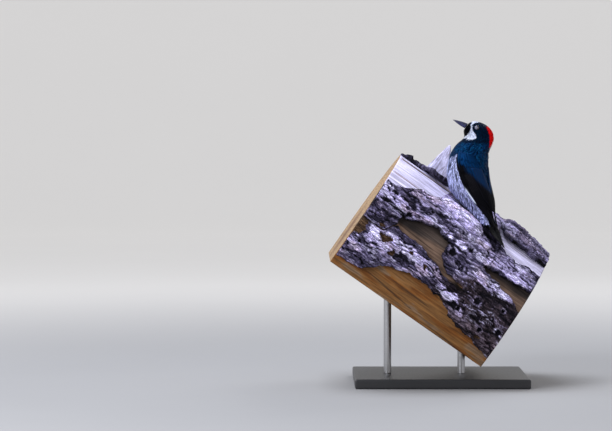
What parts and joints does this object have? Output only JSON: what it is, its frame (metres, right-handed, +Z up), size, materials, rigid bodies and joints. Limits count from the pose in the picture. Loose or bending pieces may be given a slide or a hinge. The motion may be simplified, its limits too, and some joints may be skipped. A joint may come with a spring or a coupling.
{
  "type": "woodpecker",
  "caption": "Life-size still model of a female acorn woodpecker clinging to a cut length of a leaning dead trunk, held on a plain display stand.",
  "frame": {"origin": "centre of the bounding box, on the underside of the stand's base", "axes": "+Z up; the bird looks towards -X and upwards, its left side faces -Y, and the perch slopes down towards +X"},
  "size_m": [0.3452, 0.3148, 0.4132],
  "materials": {
    "feathers_blue_black": "glossy blue-black feathers",
    "feathers_black": "satin black feathers",
    "feathers_white": "matt white, black and red feathers",
    "eye_white": "wet gloss",
    "horn_grey": "satin horn",
    "leg_scales": "scaly skin",
    "bark": "rough weathered bark",
    "dead_wood": "dry weathered wood",
    "stand_base_black": "satin black paint",
    "stand_rod_steel": "brushed"
  },
  "bodies": {
    "root": {"bill_lower": "horn_grey", "bill_upper": "horn_grey", "eye_left": "eye_white", "eye_right": "eye_white", "head": "feathers_white", "leg_left_claw_hind": "horn_grey", "leg_left_claw_inner": "horn_grey", "leg_left_claw_middle": "horn_grey", "leg_left_claw_outer": "horn_grey", "leg_left_foot": "leg_scales", "leg_left_tarsus": "leg_scales", "leg_left_toe_hind": "leg_scales", "leg_left_toe_inner": "leg_scales", "leg_left_toe_middle": "leg_scales", "leg_left_toe_outer": "leg_scales", "leg_right_claw_hind": "horn_grey", "leg_right_claw_inner": "horn_grey", "leg_right_claw_middle": "horn_grey", "leg_right_claw_outer": "horn_grey", "leg_right_foot": "leg_scales", "leg_right_tarsus": "leg_scales", "leg_right_toe_hind": "leg_scales", "leg_right_toe_inner": "leg_scales", "leg_right_toe_middle": "leg_scales", "leg_right_toe_outer": "leg_scales", "neck": "feathers_blue_black", "perch_bark_back": "bark", "perch_bark_crest": "bark", "perch_bark_left": "bark", "perch_bark_lower": "bark", "perch_bark_lump": "bark", "perch_bark_middle": "bark", "perch_bark_near": "bark", "perch_bark_right": "bark", "perch_bark_saddle": "bark", "perch_bark_shard": "bark", "perch_splinter": "dead_wood", "perch_wood": "dead_wood", "stand_base": "stand_base_black", "stand_rod_1": "stand_rod_steel", "stand_rod_2": "stand_rod_steel", "tail": "feathers_black", "trunk": "feathers_blue_black", "wing_left": "feathers_black", "wing_right": "feathers_black"}
  },
  "joints": []
}
